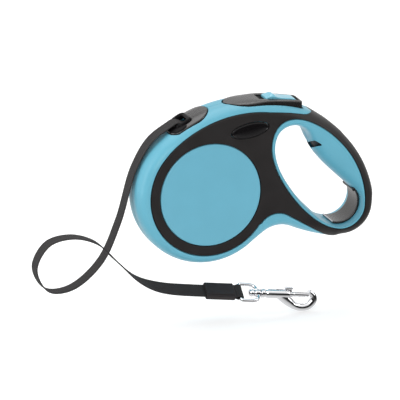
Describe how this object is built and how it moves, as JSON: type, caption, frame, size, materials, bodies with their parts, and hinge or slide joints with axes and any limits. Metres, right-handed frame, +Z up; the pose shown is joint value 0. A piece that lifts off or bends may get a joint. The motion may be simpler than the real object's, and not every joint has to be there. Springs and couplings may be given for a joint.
{
  "type": "retractable dog leash",
  "caption": "Hand-held retractable tape leash: rounded two-shell housing with a grip opening, rocking brake button with lock slider, ratchet reel, woven tape and a swivelling bolt snap.",
  "frame": {"origin": "the centre of the leash's bounding box at rest, in the plane in which the two housing shells meet; the reel's axle is 0.3 mm along +X and 15.5 mm up from it", "axes": "+X from the reel towards the handle, +Y from the left shell to the right shell along the axle, +Z up towards the brake button"},
  "size_m": [0.2688, 0.0368, 0.1737],
  "materials": {
    "housing_plastic": "smooth glossy moulding, light blue",
    "disc_plastic": "satin light blue panel",
    "soft_cover": "soft black overmould, satin, fine grain",
    "gloss_black": "glossy black",
    "dark_grey_plastic": "semi-gloss dark grey",
    "lock_plastic": "glossy light blue",
    "reel_plastic": "plain moulding",
    "tape": "woven polyester tape, dark grey",
    "sleeve": "smooth black moulded sleeve",
    "chrome": "polished die casting",
    "steel": "plain steel"
  },
  "bodies": {
    "housing": {"housing_shell_left": "housing_plastic", "housing_shell_right": "housing_plastic", "soft_cover_left": "soft_cover", "soft_cover_right": "soft_cover", "side_disc_left": "disc_plastic", "side_disc_right": "disc_plastic", "badge_left": "gloss_black", "badge_right": "gloss_black", "nozzle_cover": "dark_grey_plastic", "nozzle_frame": "gloss_black", "tape_guide_pin": "steel", "housing_screw_1": "steel", "housing_screw_2": "steel", "housing_screw_3": "steel", "housing_screw_4": "steel", "housing_screw_5": "steel", "housing_screw_6": "steel", "reel_axle": "steel", "axle_washer_left": "steel", "axle_washer_right": "steel", "pawl_pin": "steel", "brake_button_pin": "steel", "brake_return_spring": "steel", "grip_insert_pin": "steel", "tape_inner_run": "tape"},
    "reel": {"reel_drum": "reel_plastic", "reel_flange": "reel_plastic", "spring_cover": "reel_plastic", "mainspring": "steel", "wound_tape": "tape"},
    "button": {"brake_button": "dark_grey_plastic", "lock_detent_spring": "steel"},
    "lock": {"brake_lock_slider": "lock_plastic"},
    "pawl": {"brake_pawl": "steel"},
    "grip": {"grip_insert": "dark_grey_plastic"},
    "tape_upper": {"tape_drop": "tape"},
    "tape_middle": {"tape_loop": "tape"},
    "tape_lower": {"tape_tail": "tape", "tape_sleeve": "sleeve", "tape_end_loop": "tape"},
    "eye": {"swivel_eye": "chrome"},
    "snap": {"swivel_stem": "chrome", "hook_body": "chrome", "trigger_spring": "steel"},
    "trigger": {"trigger_bolt": "chrome"}
  },
  "joints": [
    {"name": "reel_spin", "type": "hinge", "parent": "housing", "child": "reel", "pos_m": [0.0003, 0, 0.0155], "axis": [0, -1, 0], "range_deg": [-525, 7200], "deforming": ["mainspring"]},
    {"name": "brake_press", "type": "hinge", "parent": "housing", "child": "button", "pos_m": [0.0673, 0, 0.0741], "axis": [0, -1, 0], "range_deg": [0, 4.5], "deforming": ["brake_return_spring"]},
    {"name": "lock_slide", "type": "slide", "parent": "button", "child": "lock", "axis": [-0.9893, 0, 0.1461], "range_m": [0, 0.005], "deforming": ["lock_detent_spring"]},
    {"name": "pawl_swing", "type": "hinge", "parent": "housing", "child": "pawl", "pos_m": [0.0393, 0, 0.0655], "axis": [0, -1, 0], "range_deg": [0, 12.2]},
    {"name": "grip_swing", "type": "hinge", "parent": "housing", "child": "grip", "pos_m": [0.1009, 0, -0.0185], "axis": [0, -1, 0], "range_deg": [0, 20]},
    {"name": "tape_nozzle_bend", "type": "hinge", "parent": "housing", "child": "tape_upper", "pos_m": [-0.0267, 0, 0.0688], "axis": [0, 1, 0], "range_deg": [0, 25]},
    {"name": "tape_loop_bend", "type": "hinge", "parent": "tape_upper", "child": "tape_middle", "pos_m": [-0.1027, 0.0055, -0.0531], "axis": [0, 1, 0], "range_deg": [-2, 20]},
    {"name": "tape_tail_bend", "type": "hinge", "parent": "tape_middle", "child": "tape_lower", "pos_m": [-0.1072, -0.008, -0.0089], "axis": [0, 1, 0], "range_deg": [-2, 20]},
    {"name": "eye_swing", "type": "hinge", "parent": "tape_lower", "child": "eye", "pos_m": [0.02618, -0.0095, -0.06637], "axis": [0.0759, 0.8505, 0.5204], "range_deg": [-15, 60]},
    {"name": "snap_swivel", "type": "hinge", "parent": "eye", "child": "snap", "pos_m": [0.0339, -0.0095, -0.0675], "axis": [0.9895, 0, -0.1444], "continuous": true},
    {"name": "trigger_pull", "type": "slide", "parent": "snap", "child": "trigger", "axis": [-0.9895, 0, 0.1444], "range_m": [0, 0.0065], "deforming": ["trigger_spring"]}
  ],
  "couplings": [
    {"joint": "pawl_swing", "follows": "brake_press", "ratio": 2.7}
  ]
}
